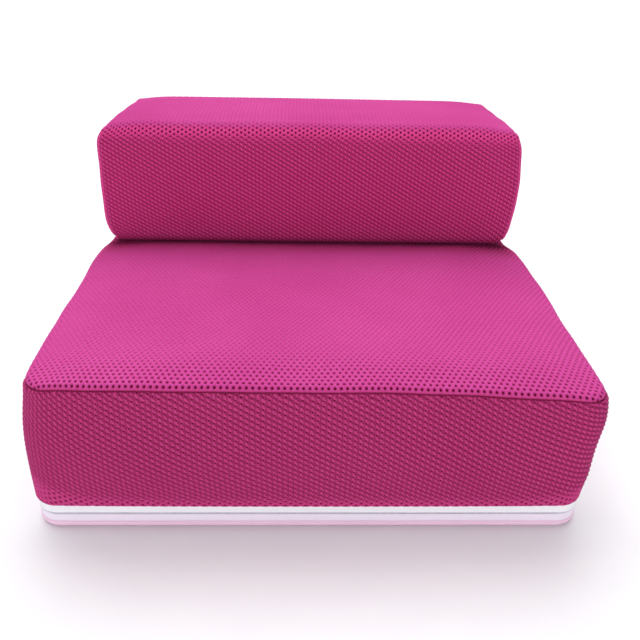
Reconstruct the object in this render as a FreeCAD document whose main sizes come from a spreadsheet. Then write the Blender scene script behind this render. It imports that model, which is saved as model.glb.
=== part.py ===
"""Two-step foam pet stair with zip-off mesh covers.

An almost square lower step carries an upper step of the same width and less depth. Each step is a foam block in
a cover of spacer mesh. A tape sewn to both back faces hinges the upper step, so that it swings over the back
edge and lies behind the lower one as a flat mat. +Z is up, the front faces -Y, and the origin is the middle of
the base where it meets the floor. All sizes are millimetres and live in the sheet named dims.
"""

import FreeCAD, Part

import math
import os

import Sketcher

Vector = FreeCAD.Vector

DIMS = {
    # the two blocks
    "width": 400.0,
    "depth": 412.0,
    "rise": 117.0,
    "upper_depth": 146.0,
    "block_gap": 0.4,
    # spacer mesh cover
    "mesh": 3.0,
    "plan_radius": 20.0,
    "edge_drop": 6.0,
    "edge_radius": 5.95,
    "upper_radius": 10.0,
    "end_depth": 9.0,
    "end_radius": 8.0,
    "end_inner_radius": 4.0,
    # foam
    "foam_inset": 5.0,
    "foam_gap": 0.5,
    "foam_edge": 5.0,
    # base cloth and the zip band that stands on it
    "base_cloth": 1.5,
    "base_inset": 2.5,
    "band_top": 20.5,
    "zip_height": 13.4,
    "zip_end": 184.0,
    # zip chain, measured in from the outer face of the mesh
    "tape_face": 3.1,
    "tape": 0.8,
    "tape_cover": 8.0,
    "coil_face": 1.5,
    "coil_width": 2.1,
    "chain_slit": 0.3,
    "coil_end": 11.0,
    # stops at the ends of the chain
    "stop_long": 2.4,
    "stop_wide": 2.4,
    "stop_back": 9.0,
    "stop_gap": 1.0,
    # zip in the back of the upper step
    "slot_high": 12.0,
    "upper_tape_long": 386.0,
    "upper_tape_high": 11.0,
    "upper_coil_long": 356.0,
    # sliders
    "slider_long": 9.0,
    "slider_wide": 8.4,
    "slider_round": 2.0,
    "face_plate_low": -1.2,
    "face_plate_high": -0.2,
    "face_plate_edge": 0.5,
    "under_plate_low": -4.8,
    "under_plate_high": -4.0,
    "flange": 0.8,
    "flange_in": 2.6,
    "flange_low": -2.9,
    "flange_long": 5.0,
    "web": 0.4,
    "web_long": 2.0,
    "bail_long": 6.0,
    "bail_wide": 1.8,
    "bail_high": 2.1,
    "bail_wall": 0.55,
    "bail_round": 1.0,
    "lower_slider_y": 166.0,
    "upper_slider_x": 170.0,
    # pull tabs
    "pin_height": 0.75,
    "tab_long": 22.0,
    "tab_wide": 6.6,
    "tab": 0.9,
    "tab_round": 1.4,
    "tab_edge": 0.25,
    "window_long": 3.7,
    "window_wide": 2.8,
    "grip_long": 6.0,
    "grip_wide": 2.6,
    "grip_margin": 2.4,
    "hole_round": 0.6,
    # hinge tape
    "strip_long": 370.0,
    "strip_leaf": 24.0,
    "strip": 1.2,
    "strip_edge": 0.1,
    "thread": 0.6,
    "thread_proud": 0.3,
    "thread_margin": 3.0,
}

FIRST_ROW = 1

doc = FreeCAD.newDocument("pet_stair")
sheet = doc.addObject("Spreadsheet::Sheet", "dims")
for row, (alias, value) in enumerate(DIMS.items(), start=FIRST_ROW):
    sheet.set(f"A{row}", alias)
    sheet.set(f"B{row}", str(value))
    sheet.setAlias(f"B{row}", alias)
doc.recompute()

nodes = []


def size(expression):
    """The value that an expression of sheet cells has now."""
    return float(sheet.evalExpression(expression))


def bind(thing, **expressions):
    """Ties each named property to an expression of sheet cells."""
    for name, expression in expressions.items():
        thing.setExpression(name.replace("__", "."), expression)


def keep(thing, label):
    """Marks an object as a sub-part of that name."""
    thing.Label = label
    nodes.append(thing)
    return thing


def new_body(name):
    return doc.addObject("PartDesign::Body", name + "_body")


def plane_sketch(body, role, name, height="0"):
    """An empty sketch on one of the body's origin planes, lifted along that plane's normal."""
    sketch = body.newObject("Sketcher::SketchObject", name)
    plane = next(f for f in body.Origin.OriginFeatures if f.Role == role)
    sketch.AttachmentSupport = [(plane, "")]
    sketch.MapMode = "FlatFace"
    sketch.setExpression("AttachmentOffset.Base.z", height)
    return sketch


def rounded_rectangle(sketch, tag, wide, high, radius, x="0", y="0"):
    """Adds a rounded rectangle centred on (x, y), with its sizes bound to the sheet."""
    w, h, r = size(wide) / 2, size(high) / 2, size(radius)
    cx, cy = size(x), size(y)
    first = sketch.GeometryCount
    corners = [(w, h), (-w, h), (-w, -h), (w, -h)]
    quarter = math.pi / 2
    for i, (px, py) in enumerate(corners):
        qx, qy = corners[(i + 1) % 4]
        along = Vector(qx - px, qy - py, 0).normalize()
        start = Vector(cx + px, cy + py, 0) + along * r
        end = Vector(cx + qx, cy + qy, 0) - along * r
        sketch.addGeometry(Part.LineSegment(start, end), False)
        centre = Vector(cx + qx - (r if qx > 0 else -r), cy + qy - (r if qy > 0 else -r), 0)
        circle = Part.Circle(centre, Vector(0, 0, 1), r)
        sketch.addGeometry(Part.ArcOfCircle(circle, (i + 1) * quarter, (i + 2) * quarter), False)
    for i in range(4):
        line, arc, after = first + 2 * i, first + 2 * i + 1, first + (2 * i + 2) % 8
        sketch.addConstraint(Sketcher.Constraint("Tangent", line, 2, arc, 1))
        sketch.addConstraint(Sketcher.Constraint("Tangent", arc, 2, after, 1))
        if i:
            sketch.addConstraint(Sketcher.Constraint("Equal", first + 1, arc))
    sketch.addConstraint(Sketcher.Constraint("Horizontal", first))
    sketch.addConstraint(Sketcher.Constraint("Vertical", first + 2))
    top, left, bottom, right = first, first + 2, first + 4, first + 6
    for kind, name, geometry, expression in (
        ("Radius", "radius", (first + 1,), radius),
        ("DistanceX", "wide", (left, 1, right, 1), wide),
        ("DistanceY", "high", (bottom, 1, top, 1), high),
        ("DistanceX", "right", (-1, 1, right, 1), f"{x} + ({wide}) / 2"),
        ("DistanceY", "top", (-1, 1, top, 1), f"{y} + ({high}) / 2"),
    ):
        index = sketch.addConstraint(Sketcher.Constraint(kind, *geometry, size(expression)))
        sketch.renameConstraint(index, f"{tag}_{name}")
        sketch.setExpression(f"Constraints.{tag}_{name}", expression)


def rectangle(sketch, tag, wide, high, x="0", y="0"):
    """Adds a rectangle centred on (x, y), with its sizes bound to the sheet."""
    w, h, cx, cy = size(wide) / 2, size(high) / 2, size(x), size(y)
    first = sketch.GeometryCount
    corners = [Vector(cx + sx * w, cy + sy * h, 0) for sx, sy in ((1, 1), (-1, 1), (-1, -1), (1, -1))]
    for i in range(4):
        sketch.addGeometry(Part.LineSegment(corners[i], corners[(i + 1) % 4]), False)
    for i in range(4):
        after = first + (i + 1) % 4
        sketch.addConstraint(Sketcher.Constraint("Coincident", first + i, 2, after, 1))
        sketch.addConstraint(Sketcher.Constraint("Vertical" if i % 2 else "Horizontal", first + i))
    for kind, name, geometry, expression in (
        ("DistanceX", "wide", (first + 1, 1, first, 1), wide),
        ("DistanceY", "high", (first + 2, 1, first, 1), high),
        ("DistanceX", "right", (-1, 1, first, 1), f"{x} + ({wide}) / 2"),
        ("DistanceY", "top", (-1, 1, first, 1), f"{y} + ({high}) / 2"),
    ):
        index = sketch.addConstraint(Sketcher.Constraint(kind, *geometry, size(expression)))
        sketch.renameConstraint(index, f"{tag}_{name}")
        sketch.setExpression(f"Constraints.{tag}_{name}", expression)


def pad(body, sketch, length, both_ways=False):
    feature = body.newObject("PartDesign::Pad", sketch.Name + "_pad")
    feature.Profile = sketch
    feature.Midplane = both_ways
    bind(feature, Length=length)
    doc.recompute()
    return feature


def pocket(body, sketch, length, outward=False):
    """Cuts down from the sketch, or up from it where outward is set, and checks that it removed something."""
    before = body.Shape.Volume
    feature = body.newObject("PartDesign::Pocket", sketch.Name + "_cut")
    feature.Profile = sketch
    feature.Reversed = outward
    bind(feature, Length=length)
    doc.recompute()
    if body.Shape.Volume > before - 1e-6:
        raise RuntimeError(f"{feature.Name} cuts nothing")
    return feature


def edges_where(feature, test):
    """Names of the edges whose two ends and middle all pass the test."""
    found = []
    for i, edge in enumerate(feature.Shape.Edges, start=1):
        points = [v.Point for v in edge.Vertexes]
        points.append(edge.valueAt((edge.FirstParameter + edge.LastParameter) / 2))
        if all(test(p) for p in points):
            found.append(f"Edge{i}")
    return found


def round_edges(body, feature, name, radius, test):
    names = edges_where(feature, test)
    if not names:
        raise RuntimeError(f"{name} finds no edge")
    fillet = body.newObject("PartDesign::Fillet", name)
    fillet.Base = (feature, names)
    bind(fillet, Radius=radius)
    doc.recompute()
    return fillet


def near(a, b):
    return abs(a - b) < 1e-4


def box(name, x, y, z, wide, deep, high):
    """A plain block from its lowest corner and sizes, each an expression of sheet cells."""
    block = doc.addObject("Part::Box", name)
    bind(block, Length=wide, Width=deep, Height=high)
    bind(block, Placement__Base__x=x, Placement__Base__y=y, Placement__Base__z=z)
    return block


def compound(label, parts):
    group = doc.addObject("Part::Compound", label + "_group")
    group.Links = parts
    return keep(group, label)


# Foam blocks ---------------------------------------------------------------------------------------------


def foam_block(label, deep, middle, base, high):
    """A cut foam block with softened edges."""
    body = new_body(label)
    outline = plane_sketch(body, "XY_Plane", label + "_outline", base)
    wide = "dims.width - 2 * dims.foam_inset"
    rounded_rectangle(outline, "outline", wide, deep, "dims.plan_radius - dims.foam_inset", y=middle)
    block = pad(body, outline, high)
    levels = (size(base), size(base) + size(high))
    rims = lambda p: near(p.z, levels[0]) or near(p.z, levels[1])
    round_edges(body, block, label + "_edges", "dims.foam_edge", rims)
    keep(body, label)


# Lower step cover ----------------------------------------------------------------------------------------

SEAM = "dims.rise - dims.edge_drop"


def wall_ring(label, outer, inner, low, high):
    """A body whose first feature is a wall that follows the lower step's outline between two insets."""
    body = new_body(label)
    outline = plane_sketch(body, "XY_Plane", label + "_outline", low)
    for tag, inset in (("outer", outer), ("inner", inner)):
        rounded_rectangle(
            outline,
            tag,
            f"dims.width - 2 * ({inset})",
            f"dims.depth - 2 * ({inset})",
            f"dims.plan_radius - ({inset})",
        )
    pad(body, outline, f"({high}) - ({low})")
    return body


def cut_wall(body, label, low, high, keep_front, end="dims.zip_end"):
    """Cuts a wall at the end of the zip run, and keeps its front part or its back part."""
    cutter = plane_sketch(body, "XY_Plane", label + "_cutter", high)
    if keep_front:
        deep, middle = f"dims.depth / 2 - ({end}) + 1", f"(dims.depth / 2 + ({end}) + 1) / 2"
    else:
        deep, middle = f"dims.depth / 2 + ({end}) + 1", f"(({end}) - dims.depth / 2 - 1) / 2"
    rectangle(cutter, "cutter", "dims.width + 2", deep, y=middle)
    pocket(body, cutter, f"({high}) - ({low})")
    return keep(body, label)


def lower_top_panel():
    """The top sheet of mesh, with its edge turned down to the seam."""
    body = new_body("lower_top_panel")
    outline = plane_sketch(body, "XY_Plane", "top_outline", SEAM)
    rounded_rectangle(outline, "outline", "dims.width", "dims.depth", "dims.plan_radius")
    slab = pad(body, outline, "dims.edge_drop")
    top = size("dims.rise")
    round_edges(body, slab, "top_edge", "dims.edge_radius", lambda p: near(p.z, top))
    hollow = plane_sketch(body, "XY_Plane", "top_hollow", "dims.rise - dims.mesh")
    rounded_rectangle(
        hollow,
        "hollow",
        "dims.width - 2 * dims.mesh",
        "dims.depth - 2 * dims.mesh",
        "dims.plan_radius - dims.mesh",
    )
    pocket(body, hollow, "dims.edge_drop - dims.mesh")
    keep(body, "lower_top_panel")


def lower_walls():
    """One mesh strip runs round the left side, the front and the right side. A second closes the back."""
    band = wall_ring("lower_front_and_sides", "0", "dims.mesh", "dims.band_top", SEAM)
    cut_wall(band, "lower_front_and_sides", "dims.band_top", SEAM, keep_front=True)
    back = wall_ring("lower_back_panel", "0", "dims.mesh", "dims.base_cloth", SEAM)
    cut_wall(back, "lower_back_panel", "dims.base_cloth", SEAM, keep_front=False)


def lower_base():
    """The white cloth that the stair stands on."""
    body = new_body("base_cloth")
    outline = plane_sketch(body, "XY_Plane", "base_outline")
    rounded_rectangle(
        outline,
        "outline",
        "dims.width - 2 * dims.base_inset",
        "dims.depth - 2 * dims.base_inset",
        "dims.plan_radius - dims.base_inset",
    )
    pad(body, outline, "dims.base_cloth")
    keep(body, "base_cloth")


# Zip round the foot of the lower step ---------------------------------------------------------------------


def lower_zip_chain():
    """Two tapes with a coil on each, round the left side, the front and the right side."""
    tape_back = "dims.tape_face + dims.tape"
    slit_low, slit_high = "dims.zip_height - dims.chain_slit", "dims.zip_height + dims.chain_slit"
    tape_top = "dims.band_top + dims.tape_cover"
    coil_stop = "dims.zip_end - dims.coil_end"
    for label, outer, inner, low, high, end in (
        ("lower_zip_tape_bottom", "dims.tape_face", tape_back, "dims.base_cloth", slit_low, "dims.zip_end"),
        ("lower_zip_tape_top", "dims.tape_face", tape_back, slit_high, tape_top, "dims.zip_end"),
        (
            "lower_zip_coil_bottom",
            "dims.coil_face",
            "dims.tape_face",
            f"{slit_low} - dims.coil_width",
            slit_low,
            coil_stop,
        ),
        (
            "lower_zip_coil_top",
            "dims.coil_face",
            "dims.tape_face",
            slit_high,
            f"{slit_high} + dims.coil_width",
            coil_stop,
        ),
    ):
        wall = wall_ring(label, outer, inner, low, high)
        cut_wall(wall, label, low, high, keep_front=True, end=end)


def lower_zip_stops():
    """Two top stops where the closed zip ends, and one bottom stop across both tapes at the other end."""
    thick = "dims.tape_face - dims.coil_face"
    right_face, left_face = "dims.width / 2 - dims.tape_face", "-dims.width / 2 + dims.coil_face"
    end = "dims.zip_end - dims.stop_back"
    high = "dims.stop_wide - dims.chain_slit"
    stops = [
        box("top_stop_low", right_face, end, "dims.zip_height - dims.stop_wide", thick, "dims.stop_long", high),
        box("top_stop_high", right_face, end, "dims.zip_height + dims.chain_slit", thick, "dims.stop_long", high),
    ]
    compound("lower_zip_top_stops", stops)
    low, whole = "dims.zip_height - dims.stop_wide", "2 * dims.stop_wide"
    stop = box("lower_bottom_stop_block", left_face, end, low, thick, "dims.stop_long", whole)
    keep(stop, "lower_zip_bottom_stop")


# Upper step cover -----------------------------------------------------------------------------------------

UPPER_BASE = "dims.rise + dims.block_gap"
UPPER_MIDDLE_Y = "(dims.depth - dims.upper_depth) / 2"
UPPER_MIDDLE_Z = "dims.rise * 1.5 + dims.block_gap"


def section(sketch, tag, inset):
    """The upper step's cross-section, in the YZ plane, at an inset."""
    rounded_rectangle(
        sketch,
        tag,
        f"dims.upper_depth - 2 * ({inset})",
        f"dims.rise - 2 * ({inset})",
        f"dims.upper_radius - ({inset})",
        x=UPPER_MIDDLE_Y,
        y=UPPER_MIDDLE_Z,
    )


def cover_tube(body, name):
    """The upper step's cover as a whole tube, before it is parted into its two strips."""
    tube = plane_sketch(body, "YZ_Plane", name + "_section")
    section(tube, "outer", "0")
    section(tube, "inner", "dims.mesh")
    return pad(body, tube, "dims.width - 2 * dims.end_depth", both_ways=True)


def cut_tube(body, name, front, back, low, high):
    """Takes away the tube's wall between two distances from its front and two from its base."""
    cutter = plane_sketch(body, "YZ_Plane", name)
    start, floor = "dims.depth / 2 - dims.upper_depth", UPPER_BASE
    rectangle(
        cutter,
        "cutter",
        f"({back}) - ({front})",
        f"({high}) - ({low})",
        x=f"{start} + (({back}) + ({front})) / 2",
        y=f"{floor} + (({high}) + ({low})) / 2",
    )
    before = body.Shape.Volume
    feature = body.newObject("PartDesign::Pocket", name + "_cut")
    feature.Profile = cutter
    feature.Midplane = True
    bind(feature, Length="dims.width")
    doc.recompute()
    if body.Shape.Volume > before - 1e-6:
        raise RuntimeError(f"{name} cuts nothing")


def upper_cover():
    """Two strips of mesh that meet in a seam under the front edge and in the zip at the back."""
    seam, past = "dims.upper_radius", "dims.upper_depth + 1"
    slot_low, slot_high = "(dims.rise - dims.slot_high) / 2", "(dims.rise + dims.slot_high) / 2"
    wrap = new_body("upper_wrap_panel")
    cover_tube(wrap, "wrap")
    cut_tube(wrap, "wrap_under", seam, past, "-1", slot_high)
    keep(wrap, "upper_wrap_panel")
    under = new_body("upper_bottom_panel")
    cover_tube(under, "under")
    cut_tube(under, "under_upper", "-1", past, slot_low, "dims.rise + 1")
    cut_tube(under, "under_front", "-1", seam, "-1", slot_low)
    keep(under, "upper_bottom_panel")


def upper_end(label, side):
    """The mesh panel that closes one end, with its rim turned in to meet the strip."""
    body = new_body(label)
    face = "dims.width / 2" if side > 0 else "-dims.width / 2"
    rim = f"{face} - ({side}) * dims.end_depth"
    low = rim if side > 0 else face
    outline = plane_sketch(body, "YZ_Plane", label + "_outline", low)
    section(outline, "outline", "0")
    cap = pad(body, outline, "dims.end_depth")
    outer_x = size(face)
    rounded = round_edges(body, cap, label + "_rim", "dims.end_radius", lambda p: near(p.x, outer_x))
    hollow = plane_sketch(body, "YZ_Plane", label + "_hollow", rim)
    section(hollow, "hollow", "dims.mesh")
    pocket(body, hollow, "dims.end_depth - dims.mesh", outward=side > 0)
    floor_x = outer_x - side * size("dims.mesh")
    cut = body.Tip
    round_edges(body, cut, label + "_inside", "dims.end_inner_radius", lambda p: near(p.x, floor_x))
    keep(body, label)


# Zip in the back of the upper step -------------------------------------------------------------------------


def back_bar(name, long, low, high, face, thick):
    """A straight bar along X, behind the upper step's back face."""
    return box(
        name,
        f"-({long}) / 2",
        f"dims.depth / 2 - ({face}) - ({thick})",
        low,
        long,
        thick,
        f"({high}) - ({low})",
    )


def upper_zip_chain():
    slit_low, slit_high = f"{UPPER_MIDDLE_Z} - dims.chain_slit", f"{UPPER_MIDDLE_Z} + dims.chain_slit"
    coil_thick = "dims.tape_face - dims.coil_face"
    for label, long, low, high, face, thick in (
        (
            "upper_zip_tape_bottom",
            "dims.upper_tape_long",
            f"{slit_low} - dims.upper_tape_high",
            slit_low,
            "dims.tape_face",
            "dims.tape",
        ),
        (
            "upper_zip_tape_top",
            "dims.upper_tape_long",
            slit_high,
            f"{slit_high} + dims.upper_tape_high",
            "dims.tape_face",
            "dims.tape",
        ),
        (
            "upper_zip_coil_bottom",
            "dims.upper_coil_long",
            f"{slit_low} - dims.coil_width",
            slit_low,
            "dims.coil_face",
            coil_thick,
        ),
        (
            "upper_zip_coil_top",
            "dims.upper_coil_long",
            slit_high,
            f"{slit_high} + dims.coil_width",
            "dims.coil_face",
            coil_thick,
        ),
    ):
        keep(back_bar(label + "_bar", long, low, high, face, thick), label)


def upper_zip_stops():
    thick = "dims.tape_face - dims.coil_face"
    y = "dims.depth / 2 - dims.tape_face"
    end = "dims.upper_coil_long / 2 + dims.stop_gap"
    high = "dims.stop_wide - dims.chain_slit"
    low = f"{UPPER_MIDDLE_Z} - dims.stop_wide"
    stops = [
        box("upper_top_stop_low", end, y, low, "dims.stop_long", thick, high),
        box(
            "upper_top_stop_high",
            end,
            y,
            f"{UPPER_MIDDLE_Z} + dims.chain_slit",
            "dims.stop_long",
            thick,
            high,
        ),
    ]
    compound("upper_zip_top_stops", stops)
    start = f"-({end}) - dims.stop_long"
    block = box("upper_bottom_stop_block", start, y, low, "dims.stop_long", thick, "2 * dims.stop_wide")
    keep(block, "upper_zip_bottom_stop")


# Sliders and pull tabs ---------------------------------------------------------------------------------------
# They are drawn flat: X is the way that the slider opens the zip, Y is across the tapes and Z is away from
# the step, with Z = 0 at the outer face of the mesh.


def slider(label):
    """Two plates that hold the chain between them, and the bail that carries the pull tab."""
    body = new_body(label)
    plate_size = ("dims.slider_long", "dims.slider_wide", "dims.slider_round")
    under = plane_sketch(body, "XY_Plane", label + "_under", "dims.under_plate_low")
    rounded_rectangle(under, "under", *plate_size)
    pad(body, under, "dims.under_plate_high - dims.under_plate_low")
    web = plane_sketch(body, "XY_Plane", label + "_web", "dims.under_plate_high")
    rectangle(web, "web", "dims.web_long", "dims.web", x="-(dims.slider_long - dims.web_long) / 2 + 0.5")
    pad(body, web, "dims.face_plate_low - dims.under_plate_high")
    face = plane_sketch(body, "XY_Plane", label + "_face", "dims.face_plate_low")
    rounded_rectangle(face, "face", *plate_size)
    plate = pad(body, face, "dims.face_plate_high - dims.face_plate_low")
    top = size("dims.face_plate_high")
    round_edges(body, plate, label + "_soft_edge", "dims.face_plate_edge", lambda p: near(p.z, top))
    flanges = plane_sketch(body, "XY_Plane", label + "_flanges", "dims.flange_low")
    for tag, side in (("left", 1), ("right", -1)):
        middle = f"({side}) * (dims.flange_in + dims.flange / 2)"
        rectangle(flanges, tag, "dims.flange_long", "dims.flange", y=middle)
    pad(body, flanges, "dims.face_plate_low - dims.flange_low")
    bail = plane_sketch(body, "XZ_Plane", label + "_bail")
    for tag, wall, low, radius in (
        ("outer", "0", "dims.face_plate_low", "dims.bail_round"),
        ("inner", "dims.bail_wall", "dims.face_plate_high", "dims.bail_round - dims.bail_wall"),
    ):
        high = f"dims.bail_high - ({wall})"
        long = f"dims.bail_long - 2 * ({wall})"
        rounded_rectangle(bail, tag, long, f"{high} - ({low})", radius, y=f"({high} + ({low})) / 2")
    pad(body, bail, "dims.bail_wide", both_ways=True)
    return keep(body, label)


def pull_tab(label):
    """A flat tab. Its end bar passes under the bail, and it can lie flat either way."""
    body = new_body(label)
    outline = plane_sketch(body, "XY_Plane", label + "_outline", "dims.pin_height - dims.tab / 2")
    long, middle = "dims.tab_long + dims.tab / 2", "(dims.tab_long - dims.tab / 2) / 2"
    rounded_rectangle(outline, "outline", long, "dims.tab_wide", "dims.tab_round", x=middle)
    plate = pad(body, outline, "dims.tab")
    heights = [size(f"dims.pin_height + ({s}) * dims.tab / 2") for s in (1, -1)]
    faces = lambda p: near(p.z, heights[0]) or near(p.z, heights[1])
    round_edges(body, plate, label + "_soft_edges", "dims.tab_edge", faces)
    top = "dims.pin_height + dims.tab / 2"
    for name, hole_long, hole_wide, x in (
        ("window", "dims.window_long", "dims.window_wide", "(dims.tab + dims.window_long) / 2"),
        ("grip", "dims.grip_long", "dims.grip_wide", "dims.tab_long - dims.grip_margin - dims.grip_long / 2"),
    ):
        hole = plane_sketch(body, "XY_Plane", f"{label}_{name}", top)
        rounded_rectangle(hole, name, hole_long, hole_wide, "dims.hole_round", x=x)
        pocket(body, hole, "dims.tab")
    return keep(body, label)


def seat(thing, place, opens, outward):
    """Puts a flat-drawn piece on its zip: place is three expressions, opens and outward are directions."""
    across = outward.cross(opens)
    rotation = FreeCAD.Rotation(opens, across, outward, "ZXY")
    thing.Placement = FreeCAD.Placement(Vector(), rotation)
    for axis, expression in zip("xyz", place):
        thing.setExpression(f"Placement.Base.{axis}", expression)


def sliders_and_tabs():
    right_side = ("dims.width / 2", "dims.lower_slider_y", "dims.zip_height")
    back = ("dims.upper_slider_x", "dims.depth / 2", UPPER_MIDDLE_Z)
    for step, where, opens, outward in (
        ("lower", right_side, Vector(0, -1, 0), Vector(1, 0, 0)),
        ("upper", back, Vector(-1, 0, 0), Vector(0, 1, 0)),
    ):
        seat(slider(step + "_zip_slider"), where, opens, outward)
        seat(pull_tab(step + "_zip_pull"), where, opens, outward)


# Hinge tape -------------------------------------------------------------------------------------------------
# One woven strip, sewn along both back faces. It is drawn as its two leaves, which part where it folds.


def hinge_tape():
    back = "dims.depth / 2"
    middle = "dims.rise + dims.block_gap / 2"
    long = "dims.strip_long"
    low_edge = f"{middle} - dims.strip_edge - dims.strip_leaf"
    high_edge = f"{middle} + dims.strip_edge"
    for step, leaf_low in (("lower", low_edge), ("upper", high_edge)):
        leaf = box(f"{step}_leaf", f"-{long} / 2", back, leaf_low, long, "dims.strip", "dims.strip_leaf")
        keep(leaf, f"hinge_tape_{step}_leaf")
        rows = []
        for name, height in (
            ("low", f"{leaf_low} + dims.thread_margin"),
            ("high", f"{leaf_low} + dims.strip_leaf - dims.thread_margin - dims.thread"),
        ):
            row_long = f"{long} - 2 * dims.thread_margin"
            face = f"{back} + dims.strip"
            place = (f"-({row_long}) / 2", face, height)
            rows.append(box(f"{step}_{name}_row", *place, row_long, "dims.thread_proud", "dims.thread"))
        compound(f"hinge_stitching_{step}", rows)


# The whole stair --------------------------------------------------------------------------------------------

foam_block(
    "lower_foam",
    "dims.depth - 2 * dims.foam_inset",
    "0",
    "dims.base_cloth",
    "dims.rise - dims.mesh - dims.base_cloth - dims.foam_gap",
)
foam_block(
    "upper_foam",
    "dims.upper_depth - 2 * dims.foam_inset",
    UPPER_MIDDLE_Y,
    f"{UPPER_BASE} + dims.mesh + dims.foam_gap",
    "dims.rise - 2 * dims.mesh - 2 * dims.foam_gap",
)
lower_base()
lower_walls()
lower_top_panel()
lower_zip_chain()
lower_zip_stops()
upper_cover()
upper_end("upper_left_end_panel", -1)
upper_end("upper_right_end_panel", 1)
upper_zip_chain()
upper_zip_stops()
sliders_and_tabs()
hinge_tape()
doc.recompute()

for thing in doc.Objects:
    if {"Invalid", "Error"} & set(thing.State):
        raise RuntimeError(f"{thing.Label} did not build")
for thing in nodes:
    if thing.Shape.isNull() or not thing.Shape.isValid():
        raise RuntimeError(f"{thing.Label} has no valid shape")

os.makedirs("parts", exist_ok=True)
for thing in nodes:
    thing.Shape.exportStep(os.path.join("parts", thing.Label + ".step"))
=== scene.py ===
"""Looks of the two-step foam pet stair: spacer-mesh covers, white zip bands, a hinge tape and a base cloth.

Shapes are worked out in millimetres and written to Blender in metres. A cover is a flat strip of knitted mesh
with real holes, laid over a soft block that a cloth simulation has plumped up.
"""

import math

import bpy
import numpy as np
from mathutils import Matrix, Vector


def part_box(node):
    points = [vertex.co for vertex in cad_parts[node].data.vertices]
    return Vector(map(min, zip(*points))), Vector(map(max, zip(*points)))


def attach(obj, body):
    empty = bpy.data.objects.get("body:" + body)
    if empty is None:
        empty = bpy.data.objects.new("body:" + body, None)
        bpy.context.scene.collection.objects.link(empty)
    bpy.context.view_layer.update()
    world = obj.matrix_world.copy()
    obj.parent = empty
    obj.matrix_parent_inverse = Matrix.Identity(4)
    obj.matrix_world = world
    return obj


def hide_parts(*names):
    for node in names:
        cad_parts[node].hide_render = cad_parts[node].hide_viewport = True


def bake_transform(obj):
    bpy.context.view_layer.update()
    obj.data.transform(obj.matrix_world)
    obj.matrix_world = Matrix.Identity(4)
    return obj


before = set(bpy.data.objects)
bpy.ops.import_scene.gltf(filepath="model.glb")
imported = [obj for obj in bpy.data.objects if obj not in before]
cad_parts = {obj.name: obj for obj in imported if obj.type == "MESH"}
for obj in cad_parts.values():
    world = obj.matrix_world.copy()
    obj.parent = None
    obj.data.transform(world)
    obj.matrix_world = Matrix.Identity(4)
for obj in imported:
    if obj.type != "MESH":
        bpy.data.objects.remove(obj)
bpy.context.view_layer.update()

MM = 0.001
TAU = 2 * math.pi
ROW_GAP = math.sqrt(3) / 2
TINY = 1e-9


def span(node):
    """Lowest and highest corner of a CAD node, in millimetres."""
    low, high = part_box(node)
    return np.array(low) / MM, np.array(high) / MM


# ---- Meshes ----


def new_thing(name, data):
    """An object in the scene with the given data."""
    thing = bpy.data.objects.new(name, data)
    bpy.context.scene.collection.objects.link(thing)
    return thing


def set_points(mesh, points):
    """Moves a mesh's vertices to points in millimetres."""
    mesh.vertices.foreach_set("co", (points * MM).astype(np.float32).ravel())


def new_mesh(name, points, faces):
    """A mesh object from points in millimetres and arrays of faces, each with one number of corners."""
    mesh = bpy.data.meshes.new(name)
    faces = [np.asarray(f, np.int32) for f in faces]
    corners = np.concatenate([f.ravel() for f in faces])
    totals = np.concatenate([np.full(len(f), f.shape[1], np.int32) for f in faces])
    mesh.vertices.add(len(points))
    set_points(mesh, points)
    mesh.loops.add(len(corners))
    mesh.loops.foreach_set("vertex_index", corners)
    mesh.polygons.add(len(totals))
    mesh.polygons.foreach_set("loop_start", (np.cumsum(totals) - totals).astype(np.int32))
    mesh.polygons.foreach_set("loop_total", totals)
    mesh.shade_smooth()
    mesh.update(calc_edges=True)
    mesh.validate()
    return new_thing(name, mesh)


def grid_faces(grid):
    """Quads of a grid of vertex numbers."""
    return np.stack([grid[:-1, :-1], grid[:-1, 1:], grid[1:, 1:], grid[1:, :-1]], -1).reshape(-1, 4)


def closed(grid):
    """A grid with its first column again at its end."""
    return np.concatenate([grid, grid[:, :1]], 1)


def rim_of(grid):
    """The values round the edge of a grid."""
    return np.concatenate([grid[0, :-1], grid[:-1, -1], grid[-1, :0:-1], grid[:0:-1, 0]])


def tube(name, rings, order):
    """A mesh of rings of points with a flat face at each end. An order of -1 turns its faces over."""
    number = np.arange(rings.shape[0] * rings.shape[1]).reshape(rings.shape[:2])
    faces = [grid_faces(closed(number)), number[:1, ::-1], number[-1:]]
    return new_mesh(name, rings.reshape(-1, 3), [f[:, ::order] for f in faces])


def lattice(columns, rows, pitch, start=0.0):
    """A grid of flat points in rows, every second row set over by half a pitch."""
    j, i = np.meshgrid(np.arange(-rows, rows + 1), np.arange(-columns, columns + 1), indexing="ij")
    return np.stack([(i + (j % 2) / 2) * pitch, (j + start) * pitch * ROW_GAP], -1)


def copies(name, points, faces):
    """One mesh of copies of a shape, from the points of each copy and the shape's faces."""
    first = np.arange(len(points))[:, None, None] * points.shape[1]
    return new_mesh(name, points.reshape(-1, 3), [(f + first).reshape(-1, f.shape[1]) for f in faces])


def vectors(items, key):
    """A vector of each of a mesh's items."""
    values = np.zeros(len(items) * 3, np.float32)
    items.foreach_get(key, values)
    return values.reshape(-1, 3)


def add_uv(thing, flat):
    """Gives a mesh a UV map from a flat point in millimetres for each vertex."""
    mesh = thing.data
    layer = mesh.uv_layers.new(name="Cloth")
    index = np.zeros(len(mesh.loops), np.int32)
    mesh.loops.foreach_get("vertex_index", index)
    layer.data.foreach_set("uv", (flat[index] * MM).astype(np.float32).ravel())


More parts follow.
